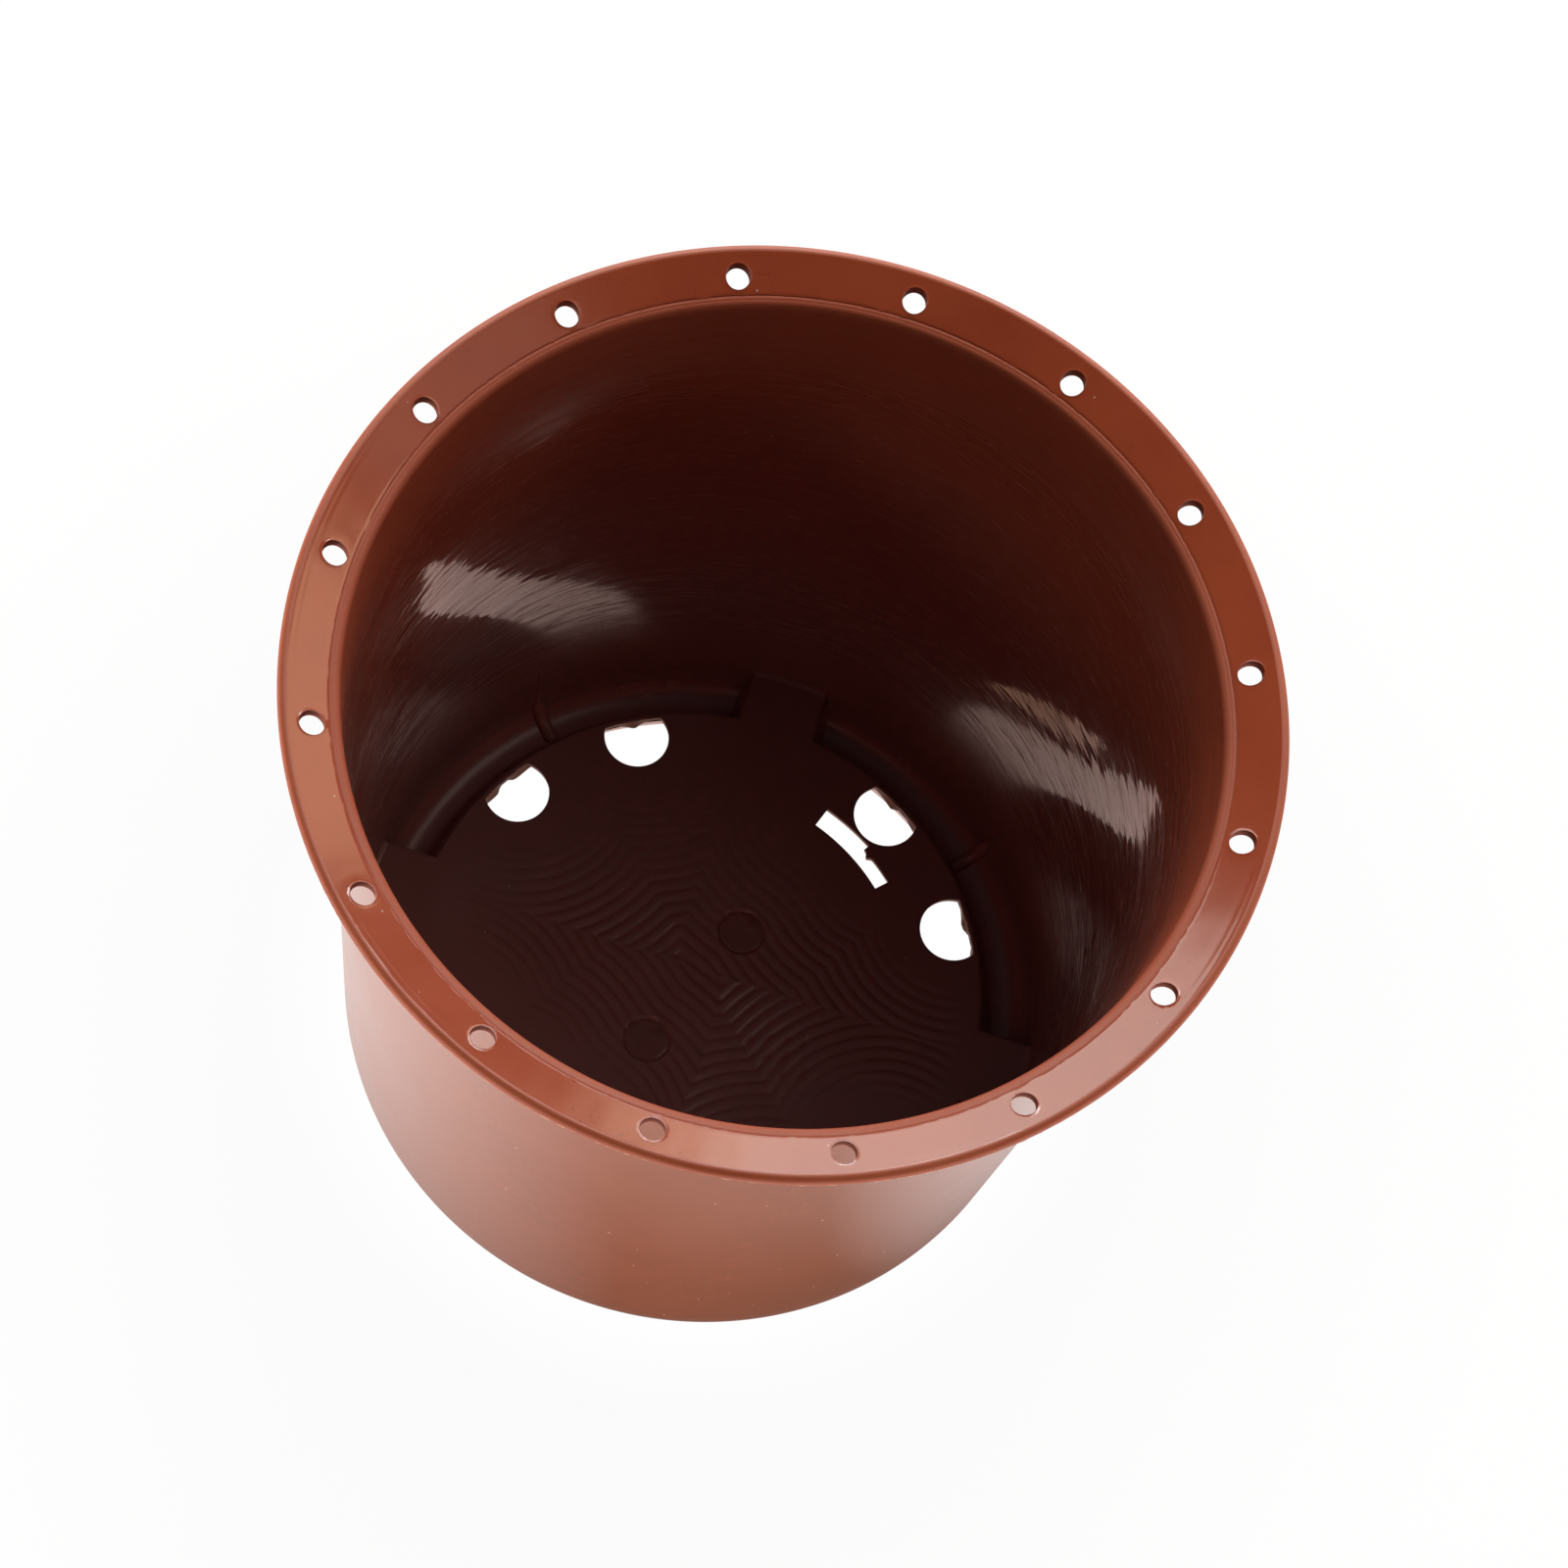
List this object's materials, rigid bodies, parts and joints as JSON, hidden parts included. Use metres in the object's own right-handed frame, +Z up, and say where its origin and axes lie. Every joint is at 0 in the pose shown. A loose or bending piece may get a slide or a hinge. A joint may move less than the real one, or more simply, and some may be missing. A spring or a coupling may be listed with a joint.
{
  "type": "slotted_orchid_pot",
  "caption": "Tapered plant pot with a sloped pierced flange, a raised floor with D-shaped drain holes and arc slots, on hollow arc feet",
  "frame": {"origin": "on the ground under the middle of the pot", "axes": "+Z up along the pot's axis, +X and +Y through the gaps between the feet; the picture is taken from -Y"},
  "size_m": [0.2, 0.2, 0.1754],
  "materials": {
    "red_brown_plastic": "satin moulded outside, polished inside"
  },
  "bodies": {
    "root": {"rim_flange": "red_brown_plastic", "pot_wall": "red_brown_plastic", "pot_floor": "red_brown_plastic", "foot_1": "red_brown_plastic", "foot_2": "red_brown_plastic", "foot_3": "red_brown_plastic", "foot_4": "red_brown_plastic", "foot_rib_1": "red_brown_plastic", "foot_rib_2": "red_brown_plastic", "foot_rib_3": "red_brown_plastic", "foot_rib_4": "red_brown_plastic"}
  },
  "joints": []
}
